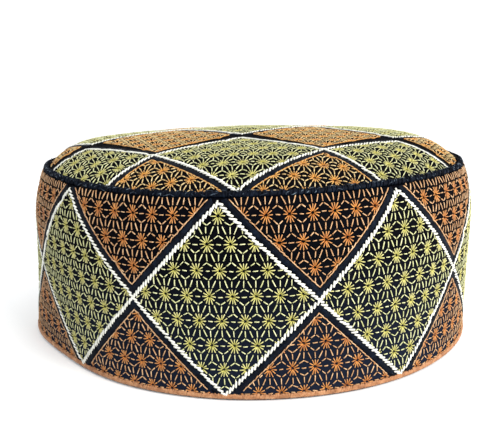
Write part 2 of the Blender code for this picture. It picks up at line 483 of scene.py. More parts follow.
# The seam hangs a little lower at both ends of the cap, and the crown stands fuller just inside it there: for
# each end its direction, depth and spread round the cap
END_SAGS = [(math.radians(-104), 3.0 * MM, math.radians(24)), (math.radians(100), 2.0 * MM, math.radians(22))]
END_SWELLS = [(math.radians(-120), 1.1 * MM, math.radians(36)), (math.radians(120), 1.4 * MM, math.radians(36))]
SAG_LOW = 58 * MM
SAG_FULL = 69 * MM
SAG_REACH = 0.9
SWELL_REACH = 0.86
SWELL_SPREAD = 0.07


def ease(share):
    """Smooth step from 0 to 1."""
    share = np.clip(share, 0, 1)
    return share * share * (3 - 2 * share)


def near_ends(direction, ends):
    """Depth at a direction, greatest at each end's own direction."""
    total = 0 * direction
    for middle, deepest, spread in ends:
        away = (direction - middle + math.pi) % (2 * math.pi) - math.pi
        total = total + deepest * np.exp(-0.5 * (away / spread) ** 2)
    return total


def sag(points):
    """Lower the seam and what joins it at the cap's ends, and raise the crown just inside it."""
    x, y, z = points.T
    direction = np.arctan2(x, -y)
    reach = np.hypot(x, y) / seam_outer(direction)
    depth = near_ends(direction, END_SAGS) * ease((reach - SAG_REACH) / (1 - SAG_REACH))
    rise = near_ends(direction, END_SWELLS) * np.exp(-0.5 * ((reach - SWELL_REACH) / SWELL_SPREAD) ** 2)
    return np.stack([x, y, z + (rise - depth) * ease((z - SAG_LOW) / (SAG_FULL - SAG_LOW))], -1)


# Mesh making

def add_mesh(name, points, faces, uvs, material, along=None):
    """Object from arrays: faces is a list of index arrays, each of triangles or of quads."""
    mesh = bpy.data.meshes.new(name)
    points = sag(np.asarray(points, float))
    corners = np.concatenate([part.ravel() for part in faces])
    sizes = np.concatenate([np.full(len(part), part.shape[1]) for part in faces])
    starts = np.concatenate([[0], np.cumsum(sizes)[:-1]])
    mesh.vertices.add(len(points))
    mesh.vertices.foreach_set("co", np.asarray(points, np.float32).ravel())
    mesh.loops.add(len(corners))
    mesh.loops.foreach_set("vertex_index", corners.astype(np.int32))
    mesh.polygons.add(len(sizes))
    mesh.polygons.foreach_set("loop_start", starts.astype(np.int32))
    layers = {"cloth": uvs}
    if along:
        layers["along"] = along
    for layer_name, parts in layers.items():
        layer = mesh.uv_layers.new(name=layer_name)
        layer.uv.foreach_set("vector", np.concatenate([part.reshape(-1, 2) for part in parts]).astype(np.float32).ravel())
    mesh.update(calc_edges=True)
    mesh.shade_smooth()
    mesh.materials.append(material)
    piece = bpy.data.objects.new(name, mesh)
    bpy.context.scene.collection.objects.link(piece)
    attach(piece, "root")
    return piece


def wrap_faces(rows, columns, closed):
    """Quads over rows of a closed ring of columns; closed also joins the last row to the first."""
    last = rows if closed else rows - 1
    row, column = np.meshgrid(np.arange(last), np.arange(columns), indexing="ij")
    over, up = (column + 1) % columns, (row + 1) % rows
    quads = np.stack([row * columns + column, row * columns + over, up * columns + over, up * columns + column], -1)
    uvs = np.stack([np.stack([column, row], -1), np.stack([column + 1, row], -1),
                    np.stack([column + 1, row + 1], -1), np.stack([column, row + 1], -1)], -2)
    return quads.reshape(-1, 4), uvs.reshape(-1, 4, 2).astype(float)


def thread_mesh(name, spines, normals, half_width, half_height, sides, material):
    """One closed lens-shaped thread on each spine, joined in one mesh."""
    count, length, _ = spines.shape
    along = unit(np.gradient(spines, axis=1))
    across = unit(np.cross(along, normals))
    upward = np.cross(across, along)
    taper = np.sqrt(np.sin(np.linspace(0, math.pi, length)))
    taper = np.clip(taper * 1.15, 0, 1)[None, 1:-1, None, None]
    angle = 2 * math.pi * (np.arange(sides) + 0.5) / sides
    width = np.broadcast_to(np.asarray(half_width, float), (count,))[:, None, None, None]
    rings = (spines[:, 1:-1, None] + taper * width * np.cos(angle)[None, None, :, None] * across[:, 1:-1, None]
             + taper * half_height * np.sin(angle)[None, None, :, None] * upward[:, 1:-1, None])
    inner = length - 2
    points = np.concatenate([spines[:, :1], rings.reshape(count, inner * sides, 3), spines[:, -1:]], axis=1)
    each = inner * sides + 2
    side = np.arange(sides)
    over = (side + 1) % sides
    first = np.stack([0 * side, 1 + over, 1 + side], -1)
    last_ring = 1 + (inner - 1) * sides
    final = np.stack([0 * side + each - 1, last_ring + side, last_ring + over], -1)
    steps, around = np.meshgrid(np.arange(inner - 1), side, indexing="ij")
    base = 1 + steps * sides
    next_side = (around + 1) % sides
    quads = np.stack([base + around, base + next_side, base + sides + next_side, base + sides + around], -1)
    quads = quads.reshape(-1, 4)
    turn_share, along_share = 1.0 / sides, 1.0 / (length - 1)
    first_uv = np.stack([np.stack([(side + 0.5) * turn_share, 0 * side], -1),
                         np.stack([(side + 1) * turn_share, 0 * side + along_share], -1),
                         np.stack([side * turn_share, 0 * side + along_share], -1)], -2)
    final_uv = np.stack([np.stack([(side + 0.5) * turn_share, 0 * side + 1.0], -1),
                         np.stack([side * turn_share, 0 * side + 1 - along_share], -1),
                         np.stack([(side + 1) * turn_share, 0 * side + 1 - along_share], -1)], -2)
    quad_uv = np.stack([
        np.stack([around * turn_share, (steps + 1) * along_share], -1),
        np.stack([(around + 1) * turn_share, (steps + 1) * along_share], -1),
        np.stack([(around + 1) * turn_share, (steps + 2) * along_share], -1),
        np.stack([around * turn_share, (steps + 2) * along_share], -1)], -2).reshape(-1, 4, 2)
    offsets = (np.arange(count) * each)[:, None, None]
    triangles = np.concatenate([first, final])[None] + offsets
    quads = quads[None] + offsets
    shift = rng.random((count, 1, 1, 2)) * 20
    lengths = np.linalg.norm(np.diff(spines, axis=1), axis=2).sum(1)[:, None, None, None] / MM
    stretch = np.concatenate([np.ones_like(lengths), lengths], -1)
    triangle_uv = np.concatenate([first_uv, final_uv])[None] * stretch + shift
    quads_uv = quad_uv[None] * stretch + shift
    plain = [np.tile(np.concatenate([first_uv, final_uv]), (count, 1, 1)), np.tile(quad_uv, (count, 1, 1))]
    faces = [triangles.reshape(-1, 3)[:, ::-1], quads.reshape(-1, 4)[:, ::-1]]
    uvs = [triangle_uv.reshape(-1, 3, 2)[:, ::-1], quads_uv.reshape(-1, 4, 2)[:, ::-1]]
    return add_mesh(name, points.reshape(-1, 3), faces, uvs, material, [part[:, ::-1] for part in plain])


def spines_between(place, start, end, lifts, ends=0.1):
    """Spines and normals of stitches between two places in a cloth's own grid; each dips in over its ends' share."""
    share = np.concatenate([[0], np.linspace(ends, 1 - ends, len(lifts) - 2), [1]])
    first = start[0][:, None] * (1 - share) + end[0][:, None] * share
    second = start[1][:, None] * (1 - share) + end[1][:, None] * share
    return place(first, second, np.broadcast_to(lifts, first.shape))


# Materials

def new_material(name):
    """Empty node material with a Principled shader, and a helper that adds nodes."""
    material = bpy.data.materials.new(name)
    material.use_nodes = True
    tree = material.node_tree
    shader = tree.nodes["Principled BSDF"]

    def add(kind, values=None, **settings):
        node = tree.nodes.new(kind)
        for key, value in settings.items():
            setattr(node, key, value)
        for key, value in (values or {}).items():
            node.inputs[key].default_value = value
        return node

    return material, tree, shader, add


def ramp_between(add, colours):
    """Colour ramp over evenly spaced colours."""
    node = add("ShaderNodeValToRGB")
    elements = node.color_ramp.elements
    while len(elements) < len(colours):
        elements.new(0.5)
    for index, colour in enumerate(colours):
        elements[index].position = index / (len(colours) - 1)
        elements[index].color = (*colour, 1.0)
    return node


def cloth_material(name, dark, light, painted_bounce_light, weave_size):
    """Dark cotton: a plain weave in the bump, patchy tone, and painted light low on the wall: a lighter, bluer tone
    that stands for bounce light from the floor.
    """
    material, tree, shader, add = new_material(name)
    uv = add("ShaderNodeUVMap", uv_map="cloth")
    over = add("ShaderNodeTexWave", {"Scale": weave_size, "Distortion": 0.6, "Detail": 1.0},
               wave_type="BANDS", bands_direction="X")
    under = add("ShaderNodeTexWave", {"Scale": weave_size, "Distortion": 0.6, "Detail": 1.0},
                wave_type="BANDS", bands_direction="Y")
    tree.links.new(uv.outputs["UV"], over.inputs["Vector"])
    tree.links.new(uv.outputs["UV"], under.inputs["Vector"])
    weave = add("ShaderNodeMath", operation="MAXIMUM")
    tree.links.new(over.outputs["Fac"], weave.inputs[0])
    tree.links.new(under.outputs["Fac"], weave.inputs[1])
    place = add("ShaderNodeTexCoord")
    patches = add("ShaderNodeTexNoise", {"Scale": 160.0, "Detail": 4.0, "Roughness": 0.6})
    tree.links.new(place.outputs["Object"], patches.inputs["Vector"])
    tone = add("ShaderNodeMath", operation="MULTIPLY")
    tree.links.new(weave.outputs[0], tone.inputs[0])
    tree.links.new(patches.outputs["Fac"], tone.inputs[1])
    ramp = ramp_between(add, [dark, light])
    tree.links.new(tone.outputs[0], ramp.inputs["Fac"])
    # Painted light: the cloth's colour is mixed towards a lighter, bluer tone low on the wall, standing for bounce
    # light from the floor
    split = add("ShaderNodeSeparateXYZ")
    tree.links.new(place.outputs["Object"], split.inputs[0])
    low = add("ShaderNodeMapRange", {"From Min": PAINTED_LIGHT_HIGH, "From Max": PAINTED_LIGHT_LOW})
    tree.links.new(split.outputs["Z"], low.inputs["Value"])
    painted_light_mix = add("ShaderNodeMix", data_type="RGBA")
    painted_light_mix.inputs["B"].default_value = (*painted_bounce_light, 1.0)
    tree.links.new(low.outputs["Result"], painted_light_mix.inputs["Factor"])
    tree.links.new(ramp.outputs["Color"], painted_light_mix.inputs["A"])
    tree.links.new(painted_light_mix.outputs["Result"], shader.inputs["Base Color"])
    bump = add("ShaderNodeBump", {"Strength": 0.5, "Distance": 0.15 * MM})
    tree.links.new(weave.outputs[0], bump.inputs["Height"])
    tree.links.new(bump.outputs["Normal"], shader.inputs["Normal"])
    shader.inputs["Roughness"].default_value = 0.85
    shader.inputs["Specular IOR Level"].default_value = 0.02
    return material


def thread_material(name, colours, roughness, specular, sheen=0.08, tip=None):
    """Embroidery thread: twisted strands in the bump, tone that drifts, and a paler outer tip where one is given; the
    tip leaves the ray's inner part darker as painted shade where rays crowd at a star's middle.
    """
    material, tree, shader, add = new_material(name)
    place = add("ShaderNodeTexCoord")
    drift = add("ShaderNodeTexNoise", {"Scale": 420.0, "Detail": 3.0, "Roughness": 0.7})
    tree.links.new(place.outputs["Object"], drift.inputs["Vector"])
    spread = add("ShaderNodeMapRange", {"From Min": 0.3, "From Max": 0.7})
    tree.links.new(drift.outputs["Fac"], spread.inputs["Value"])
    ramp = ramp_between(add, colours)
    tree.links.new(spread.outputs["Result"], ramp.inputs["Fac"])
    # Painted shade: the paler outer tip leaves the ray's inner part darker, as shade where rays crowd at a star's
    # middle
    if tip:
        run = add("ShaderNodeUVMap", uv_map="along")
        split = add("ShaderNodeSeparateXYZ")
        tree.links.new(run.outputs["UV"], split.inputs[0])
        reach = add("ShaderNodeMapRange", {"From Min": 0.35, "From Max": 0.95, "To Max": 0.9})
        tree.links.new(split.outputs["Y"], reach.inputs["Value"])
        mixed = add("ShaderNodeMix", data_type="RGBA")
        mixed.inputs["B"].default_value = (*tip, 1.0)
        tree.links.new(reach.outputs["Result"], mixed.inputs["Factor"])
        tree.links.new(ramp.outputs["Color"], mixed.inputs["A"])
        tree.links.new(mixed.outputs["Result"], shader.inputs["Base Color"])
    else:
        tree.links.new(ramp.outputs["Color"], shader.inputs["Base Color"])
    uv = add("ShaderNodeUVMap", uv_map="cloth")
    strands = add("ShaderNodeTexWave", {"Scale": 1.0, "Distortion": 1.0, "Detail": 1.0},
                  wave_type="BANDS", bands_direction="DIAGONAL")
    tree.links.new(uv.outputs["UV"], strands.inputs["Vector"])
    bump = add("ShaderNodeBump", {"Strength": 0.35, "Distance": 0.05 * MM})
    tree.links.new(strands.outputs["Fac"], bump.inputs["Height"])
    tree.links.new(bump.outputs["Normal"], shader.inputs["Normal"])
    shader.inputs["Roughness"].default_value = roughness
    shader.inputs["Specular IOR Level"].default_value = specular
    shader.inputs["Sheen Weight"].default_value = sheen
    shader.inputs["Sheen Roughness"].default_value = 0.4
    return material


# The third colour is painted light: the lighter, bluer tone low on the wall that stands for bounce light from the
# floor
navy_cloth = cloth_material(
    "navy_cloth", (0.0003, 0.0003, 0.0006), (0.003, 0.0034, 0.006), (0.006, 0.009, 0.018), 900.0)
# The last colour of each ray thread is its paler outer tip: the darker inner part is painted shade where rays crowd at
# a star's middle
olive_ray_thread = thread_material(
    "olive_ray_thread", [(0.24, 0.22, 0.04), (0.36, 0.33, 0.07), (0.46, 0.43, 0.13)], 0.5, 0.25, 0.04, (0.52, 0.51, 0.31))
olive_dash_thread = thread_material(
    "olive_dash_thread", [(0.32, 0.33, 0.14), (0.46, 0.47, 0.24), (0.57, 0.57, 0.36)], 0.5, 0.25, 0.04)
copper_ray_thread = thread_material(
    "copper_ray_thread", [(0.22, 0.058, 0.006), (0.34, 0.11, 0.015), (0.48, 0.20, 0.04)], 0.45, 0.25, 0.04,
    (0.46, 0.26, 0.11))
copper_dash_thread = thread_material(
    "copper_dash_thread", [(0.26, 0.12, 0.045), (0.41, 0.23, 0.11), (0.56, 0.38, 0.22)], 0.45, 0.25, 0.04)
gold_ray_thread = thread_material(
    "gold_ray_thread", [(0.30, 0.10, 0.010), (0.43, 0.17, 0.02), (0.54, 0.27, 0.045)], 0.45, 0.25, 0.04,
    (0.60, 0.42, 0.17))
gold_dash_thread = thread_material(
    "gold_dash_thread", [(0.34, 0.20, 0.07), (0.52, 0.37, 0.16), (0.64, 0.52, 0.29)], 0.45, 0.25, 0.04)
white_thread = thread_material(
    "white_thread", [(0.46, 0.46, 0.40), (0.60, 0.60, 0.54), (0.72, 0.72, 0.67)], 0.55, 0.25, 0.04)
navy_thread = thread_material(
    "navy_thread", [(0.0005, 0.0010, 0.0025), (0.0015, 0.003, 0.007), (0.004, 0.008, 0.017)], 0.6, 0.05, 0.0)
# Painted highlight: pale bluish thread wound among the dark seam threads, standing for their sheen
sheen_fleck_thread = thread_material(
    "sheen_fleck_thread", [(0.003, 0.006, 0.012), (0.016, 0.026, 0.042), (0.12, 0.16, 0.19)], 0.5, 0.15, 0.0)
hem_thread = thread_material(
    "hem_thread", [(0.17, 0.07, 0.03), (0.31, 0.14, 0.06), (0.42, 0.23, 0.12)], 0.45, 0.25, 0.04)


# Cloth pieces

def make_band_cloth():
    """The band's wall: its embroidered outer face, a folded rim and a plain inner face."""
    share = np.arange(BAND_COLUMNS) / BAND_COLUMNS - 0.5
    heights = np.linspace(RIM_ROUND, BAND_REACH * BAND_TOP_LEVEL, BAND_ROWS)
    rows = []
    for height in heights:
        rows.append(on_band(share, height + 0 * share, 0 * share)[0])
    inner_heights = np.linspace(heights[-1], RIM_ROUND, INNER_ROWS)
    for height in inner_heights:
        column = (share + 0.5) * PATCH_COLUMNS
        row = height / BAND_REACH * PATCH_ROWS + 0 * share
        rows.append(read_grid(band_grid, row, column) - BAND_THICKNESS * read_grid(band_normals, row, column))
    outer_rim, outer_normal = on_band(share, 0 * share, 0 * share)
    flat = outer_normal * [1, 1, 0]
    for inset in (BAND_THICKNESS - RIM_ROUND, RIM_ROUND):
        rim = outer_rim - unit(flat) * inset
        rim[:, 2] = 0.0
        rows.append(rim)
    rows.append(rows[0] * 1.0)
    rows.pop()
    quads, uvs = wrap_faces(len(rows), BAND_COLUMNS, True)
    scale = np.array([np.mean(band_girths) / BAND_COLUMNS, BAND_REACH / BAND_ROWS])
    return add_mesh("band_cloth", np.concatenate(rows), [quads], [uvs * scale], navy_cloth)


def make_crown_cloth():
    """The crown: its embroidered dome, a turned-down edge and a plain underside."""
    direction = np.arange(CROWN_COLUMNS) * 2 * math.pi / CROWN_COLUMNS
    shares = np.linspace(0, 1, CROWN_ROWS + 1)[1:]
    cosine, sine = math.cos(CROWN_TURN), math.sin(CROWN_TURN)
    rows = []
    lengths = crown_reach(direction)
    for share in shares:
        reach = lengths * share
        x, y = reach * np.sin(direction) - CROWN_CENTRE[0], -reach * np.cos(direction) - CROWN_CENTRE[1]
        across, up = cosine * x + sine * y, -sine * x + cosine * y
        rows.append(on_crown(across, up, 0 * across)[0])
    skirt = rows[-1].copy()
    skirt[:, 2] -= SEAM_HALF_HEIGHT
    rows.append(skirt)
    for share in np.linspace(1.0, 0.0, INNER_ROWS + 1)[:-1]:
        inner_share = share * (1 - CROWN_THICKNESS / crown_edge(direction))
        place = crown_point(direction, inner_share)
        place[:, 2] -= CROWN_THICKNESS
        if share == 1.0:
            low = place.copy()
            low[:, 2] = skirt[:, 2]
            rows.append(low)
        rows.append(place)
    top = on_crown(*np.array(to_lozenge(0.0, 0.0))[:, None], np.zeros(1))[0]
    under = crown_point(np.zeros(1), np.zeros(1)) - [0, 0, CROWN_THICKNESS]
    quads, uvs = wrap_faces(len(rows), CROWN_COLUMNS, False)
    quads = quads[:, ::-1]
    uvs = uvs[:, ::-1]
    points = np.concatenate(rows + [top, under])
    column = np.arange(CROWN_COLUMNS)
    over = (column + 1) % CROWN_COLUMNS
    last = (len(rows) - 1) * CROWN_COLUMNS
    top_fan = np.stack([0 * column + len(points) - 2, column, over], -1)
    under_fan = np.stack([0 * column + len(points) - 1, last + over, last + column], -1)
    quad_places = points[quads][..., :2]
    fan_places = points[np.concatenate([top_fan, under_fan])][..., :2]
    return add_mesh("crown_cloth", points, [quads, np.concatenate([top_fan, under_fan])],
                    [quad_places, fan_places], navy_cloth)


def to_lozenge(x, y):
    """Place in the crown's lozenge grid of a place on its flat cloth."""
    cosine, sine = math.cos(CROWN_TURN), math.sin(CROWN_TURN)
    x, y = x - CROWN_CENTRE[0], y - CROWN_CENTRE[1]
    return cosine * x + sine * y, -sine * x + cosine * y


def crown_reach(direction):
    """Length of cloth from the crown's middle to its edge."""
    shares = np.linspace(0, 1, DOME_STEPS + 1)
    at, along = np.meshgrid(direction, shares, indexing="ij")
    return np.linalg.norm(np.diff(crown_point(at, along), axis=1), axis=2).sum(1)


band_cloth = make_band_cloth()
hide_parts("side_band")
crown_cloth = make_crown_cloth()
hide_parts("crown_panel")


# Star embroidery

def star_stitches(column, row, column_size):
    """Start and end of every stitch of every star, in columns and rows, and which are rays."""
    starts, ends, rays = [], [], []
    for line in STAR_REPEAT:
        long = math.hypot(line["across"] * column_size, line["up"] * STAR_ROW)
        spans = [(RAY_START / long, line["ray"] / long, True)]
        if line["dash"]:
            spans.append((*line["dash"], False))
        for low, high, ray in spans:
            starts.append(np.stack([column + low * line["across"], row - low * line["up"]], -1))
            ends.append(np.stack([column + high * line["across"], row - high * line["up"]], -1))
            rays.append(np.full(len(column), ray))
    starts, ends, rays = np.concatenate(starts), np.concatenate(ends), np.concatenate(rays)
    jitter = STITCH_JITTER / np.array([column_size, STAR_ROW])
    starts = starts + rng.normal(size=starts.shape) * jitter
    ends = ends + rng.normal(size=ends.shape) * jitter
    return starts, ends, rays


def clip_stitches(start, end, inside_start, inside_end, length):
    """Shorten stitches at a border and drop what is left too short. Inside is a distance above zero."""
    share_start = np.clip(-inside_start / (inside_end - inside_start + 1e-12), 0, 1)
    share_end = np.clip(-inside_end / (inside_start - inside_end + 1e-12), 0, 1)
    low = np.where(inside_start < 0, share_start, 0.0)[:, None]
    high = np.where(inside_end < 0, 1 - share_end, 1.0)[:, None]
    keep = ((inside_start > 0) | (inside_end > 0)) & (((high - low)[:, 0] * length) > SHORTEST_STITCH)
    return (start + (end - start) * low)[keep], (start + (end - start) * high)[keep], keep


STAR_LIFTS = np.array([-0.12, 0.20, 0.24, 0.20, -0.12]) * MM
RAY_LIFTS = np.array([-0.05, 0.20, 0.20, -0.12]) * MM


def embroider(prefix, start, end, rays, place, inside, ray_material, dash_material):
    """Rays and dashes of one colour as two joined meshes."""
    length = np.linalg.norm(place(*end.T, 0 * end[:, 0])[0] - place(*start.T, 0 * start[:, 0])[0], axis=1)
    start, end, keep = clip_stitches(start, end, inside(*start.T), inside(*end.T), length)
    rays = rays[keep]
    pieces = []
    for which, chosen, lifts, material in (("rays", rays, RAY_LIFTS, ray_material),
                                           ("dashes", ~rays, STAR_LIFTS, dash_material)):
        spines, normals = spines_between(place, start[chosen].T, end[chosen].T, lifts)
        width = THREAD_HALF_WIDTH * rng.uniform(0.85, 1.12, len(spines))
        piece = thread_mesh(f"{prefix}_{which}", spines, normals, width, THREAD_HALF_HEIGHT, 4, material)
        pieces.append(piece)
    return pieces


def band_stars():
    """Stars over the whole band, in olive inside the lozenges and copper outside."""
    column, row = [], []
    for number in range(0, 10):
        columns = np.arange(STAR_COLUMNS) + 0.5 * (number % 2) - STAR_COLUMNS // 2
        column.append(columns)
        row.append(np.full(len(columns), float(number)))
    start, end, rays = star_stitches(np.concatenate(column), np.concatenate(row), 7.5 * MM)

    def place(columns, rows, lift):
        height = FIRST_ROW_HEIGHT - (rows - 1) * STAR_ROW
        return on_band(band_share(columns, height), height, lift)

    def room(columns, rows):
        height = FIRST_ROW_HEIGHT - (rows - 1) * STAR_ROW
        inside = band_inside(band_share(columns, height), height)
        edges = np.minimum(height - HEM_HIGH + 0.2 * MM, BAND_REACH - 0.5 * MM - height)
        return inside, edges

    def olive_room(columns, rows):
        inside, edges = room(columns, rows)
        return np.minimum(inside - OLIVE_MARGIN, edges)

    def copper_room(columns, rows):
        inside, edges = room(columns, rows)
        return np.minimum(-inside - OUTLINE_OFFSET, edges)

    made = embroider("band_olive", start, end, rays, place, olive_room, olive_ray_thread, olive_dash_thread)
    made += embroider("band_copper", start, end, rays, place, copper_room, copper_ray_thread, copper_dash_thread)
    return made


def crown_stars():
    """Stars over the whole crown."""
    reach = int(2 * CROWN_REACH / CROWN_COLUMN)
    column, row = [], []
    for number in range(-reach, reach):
        columns = np.arange(-reach, reach) + 0.5 * (number % 2)
        column.append(columns)
        row.append(np.full(len(columns), float(number)))
    column, row = np.concatenate(column), np.concatenate(row)

    def spot(columns, rows):
        return CROWN_STAR[0] + columns * CROWN_COLUMN, CROWN_STAR[1] - rows * STAR_ROW

    near = read_grid(crown_room, *flat_place(*spot(column, row))) > -8 * MM
    start, end, rays = star_stitches(column[near], row[near], CROWN_COLUMN)

    def place(columns, rows, lift):
        return on_crown(*spot(columns, rows), lift)

    def edges(columns, rows):
        return read_grid(crown_room, *flat_place(*spot(columns, rows))) - 0.6 * MM

    def olive_room(columns, rows):
        return np.minimum(crown_olive_inside(*spot(columns, rows)) - OLIVE_MARGIN, edges(columns, rows))

    def copper_room(columns, rows):
        return np.minimum(-crown_inside(*spot(columns, rows)) - CROWN_COPPER_MARGIN, edges(columns, rows))

    made = embroider("crown_olive", start, end, rays, place, olive_room, olive_ray_thread, olive_dash_thread)
    made += embroider("crown_gold", start, end, rays, place, copper_room, gold_ray_thread, gold_dash_thread)
    return made


# Borders between the lozenges

def band_lines():
    """White lines of the band as pairs of ends, in share of a turn and height."""
    lines = []
    for index in range(WALL_LOZENGES):
        top = (lozenge_share(index, LOZENGE_TOP), LOZENGE_TOP)
        low = (lozenge_share(index, LOZENGE_BOTTOM), LOZENGE_BOTTOM)
        left = (lozenge_share(index - 0.5, LOZENGE_MIDDLE), LOZENGE_MIDDLE)
        right = (lozenge_share(index + 0.5, LOZENGE_MIDDLE), LOZENGE_MIDDLE)
        lines += [(left, top), (low, right), (top, right), (left, low)]
    return lines


def crown_lines(back_gap):
    """White lines of the crown as pairs of ends in its lozenge grid, stopping short of the lozenges' back corners."""
    half_width, half_height = CROWN_LOZENGE[0] / 2, CROWN_LOZENGE[1] / 2
    lines = []
    reach = 6
    for across in range(-reach, reach + 1, 2):
        for up in range(-reach, reach + 1, 2):
            left = ((across - 1) * half_width, up * half_height)
            right = ((across + 1) * half_width, up * half_height)
            front = (across * half_width, (up - 1) * half_height)
            back = (across * half_width, (up + 1) * half_height - back_gap)
            lines += [(left, back), (front, right), (back, right), (left, front)]
    return lines


def line_frame(lines, scale, pitch):
    """Evenly spaced places on lines, with unit steps along and across in the cloth's own units."""
    spots, along, across = [], [], []
    for start, end in lines:
        start, end = np.array(start, float), np.array(end, float)
        middle = (start + end) / 2
        size = scale(*middle)
        run = (end - start) * size
        length = np.linalg.norm(run)
        count = max(2, int(round(length / pitch)))
        share = (np.arange(count) + 0.5) / count
        direction = run / length
        spots.append(start + (end - start) * share[:, None])
        along.append(np.broadcast_to(direction, (count, 2)))
        across.append(np.broadcast_to(np.array([-direction[1], direction[0]]), (count, 2)))
    return np.concatenate(spots), np.concatenate(along), np.concatenate(across)


def band_scale(share, height):
    """Metres for each unit of the band's own grid."""
    return np.array([girth_at(height), 1.0])


def crown_scale(across, up):
    """Metres for each unit of the crown's own grid."""
    return np.array([1.0, 1.0])


def to_grid_units(scale, spots, steps):
    """Steps in metres turned into the grid's units at each spot."""
    sizes = np.array([scale(*spot) for spot in spots])
    return steps / sizes


def white_border(name, lines, scale, place, keep, material):
    """Rope-like border: short slanted stitches side by side along each line."""
    spots, along, across = line_frame(lines, scale, BORDER_PITCH)
    chosen = keep(*spots.T)
    spots, along, across = spots[chosen], along[chosen], across[chosen]
    slant = BORDER_SLANT + rng.normal(size=len(spots)) * 0.09
    half = BORDER_STITCH / 2 * rng.uniform(0.88, 1.12, len(spots))
    step = (along * np.cos(slant)[:, None] + across * np.sin(slant)[:, None]) * half[:, None]
    step = to_grid_units(scale, spots, step)
    wobble = to_grid_units(scale, spots, rng.normal(size=spots.shape) * 0.08 * MM)
    lifts = np.array([-0.05, 0.30, 0.38, 0.36, 0.26, -0.05]) * MM
    spines, normals = spines_between(place, (spots + wobble - step).T, (spots + wobble + step).T, lifts)
    width = BORDER_HALF_WIDTH * rng.uniform(0.88, 1.1, len(spots))
    return thread_mesh(name, spines, normals, width, 0.22 * MM, 5, material)


def navy_border(name, lines, scale, place, keep, inside):
    """Flat navy satin on the copper side of each white line."""
    spots, along, across = line_frame(lines, scale, NAVY_PITCH)
    chosen = keep(*spots.T)
    spots, along, across = spots[chosen], along[chosen], across[chosen]
    probe = to_grid_units(scale, spots, across * NAVY_END)
    toward_copper = np.where(inside(*(spots + probe).T) < inside(*(spots - probe).T), 1.0, -1.0)
    lean = along * 0.35
    near = to_grid_units(scale, spots, (across * toward_copper[:, None]) * NAVY_START)
    far = to_grid_units(scale, spots, (across * toward_copper[:, None] + lean) * NAVY_END)
    lifts = np.array([-0.05, 0.16, 0.18, -0.05]) * MM
    start, end = spots + near, spots + far
    good = keep(*end.T) & (inside(*end.T) < 0)
    spines, normals = spines_between(place, start[good].T, end[good].T, lifts)
    return thread_mesh(name, spines, normals, 0.30 * MM, 0.12 * MM, 4, navy_thread)


def copper_outline():
    """Thin copper line of long stitches round each copper patch of the band."""
    mean_half = np.mean(band_girths) / WALL_LOZENGES / 2
    grow = OUTLINE_OFFSET / (mean_half * LOZENGE_HALF_HEIGHT / math.hypot(mean_half, LOZENGE_HALF_HEIGHT))
    lines = []
    for index in range(WALL_LOZENGES):
        for side in (-1, 1):
            for rise in (-1, 1):
                apex = LOZENGE_MIDDLE + rise * grow * LOZENGE_HALF_HEIGHT
                end = BAND_REACH if rise > 0 else 0.0
                away = (1 + grow - abs(end - LOZENGE_MIDDLE) / LOZENGE_HALF_HEIGHT) / 2
                lines.append(((lozenge_share(index + side * 0.5, apex), apex),
                              (lozenge_share(index + side * away, end), end)))
    spots, along, across = line_frame(lines, band_scale, OUTLINE_PITCH)
    slant = rng.normal(size=len(spots)) * 0.07 + 0.10
    half = OUTLINE_PITCH * 0.62
    step = to_grid_units(band_scale, spots, (along * np.cos(slant)[:, None] + across * np.sin(slant)[:, None]) * half)
    start, end = spots - step, spots + step
    low, high = HEM_HIGH, BAND_REACH - 0.4 * MM
    good = (start[:, 1] > low) & (start[:, 1] < high) & (end[:, 1] > low) & (end[:, 1] < high)
    lifts = np.array([-0.03, 0.20, 0.24, 0.20, -0.03]) * MM
    spines, normals = spines_between(on_band, start[good].T, end[good].T, lifts)
    return thread_mesh("band_copper_outline", spines, normals, 0.23 * MM, 0.17 * MM, 4, copper_dash_thread)


def crown_outline():
    """Thin line of long stitches round each copper patch of the crown."""
    spots, along, across = line_frame(crown_lines(0.0), crown_scale, OUTLINE_PITCH)
    outward_side = np.where(crown_inside(*(spots + across * MM).T) < crown_inside(*(spots - across * MM).T), 1.0, -1.0)
    spots = spots + across * outward_side[:, None] * OUTLINE_OFFSET
    slant = rng.normal(size=len(spots)) * 0.07 + 0.10
    step = (along * np.cos(slant)[:, None] + across * np.sin(slant)[:, None]) * OUTLINE_PITCH * 0.62
    start, end = spots - step, spots + step
    good = crown_edge_keep(*start.T) & crown_edge_keep(*end.T)
    for tip in (start, end):
        good &= crown_inside(*tip.T) < -OUTLINE_OFFSET * 0.85
    lifts = np.array([-0.03, 0.20, 0.24, 0.20, -0.03]) * MM
    spines, normals = spines_between(on_crown, start[good].T, end[good].T, lifts)
    return thread_mesh("crown_gold_outline", spines, normals, 0.23 * MM, 0.17 * MM, 4, gold_ray_thread)


def band_edge_keep(share, height):
    """Places on the band that the seam and the hem leave bare."""
    return (height > HEM_LOW) & (height < BAND_REACH - 0.6 * MM)


def crown_edge_keep(across, up):
    """Places on the crown that the seam leaves bare."""
    return read_grid(crown_room, *flat_place(across, up)) > 0.5 * MM


band_pieces = band_stars()
crown_pieces = crown_stars()
band_pieces.append(white_border("band_white_border", band_lines(), band_scale, on_band, band_edge_keep, white_thread))
crown_pieces.append(
    white_border("crown_white_border", crown_lines(CROWN_BACK_GAP), crown_scale, on_crown, crown_edge_keep, white_thread))
band_pieces.append(navy_border("band_navy_border", band_lines(), band_scale, on_band, band_edge_keep, band_inside))
crown_pieces.append(
    navy_border("crown_navy_border", crown_lines(CROWN_BACK_GAP), crown_scale, on_crown, crown_edge_keep,
                crown_olive_inside))
band_pieces.append(copper_outline())
crown_pieces.append(crown_outline())


# Seam and hem

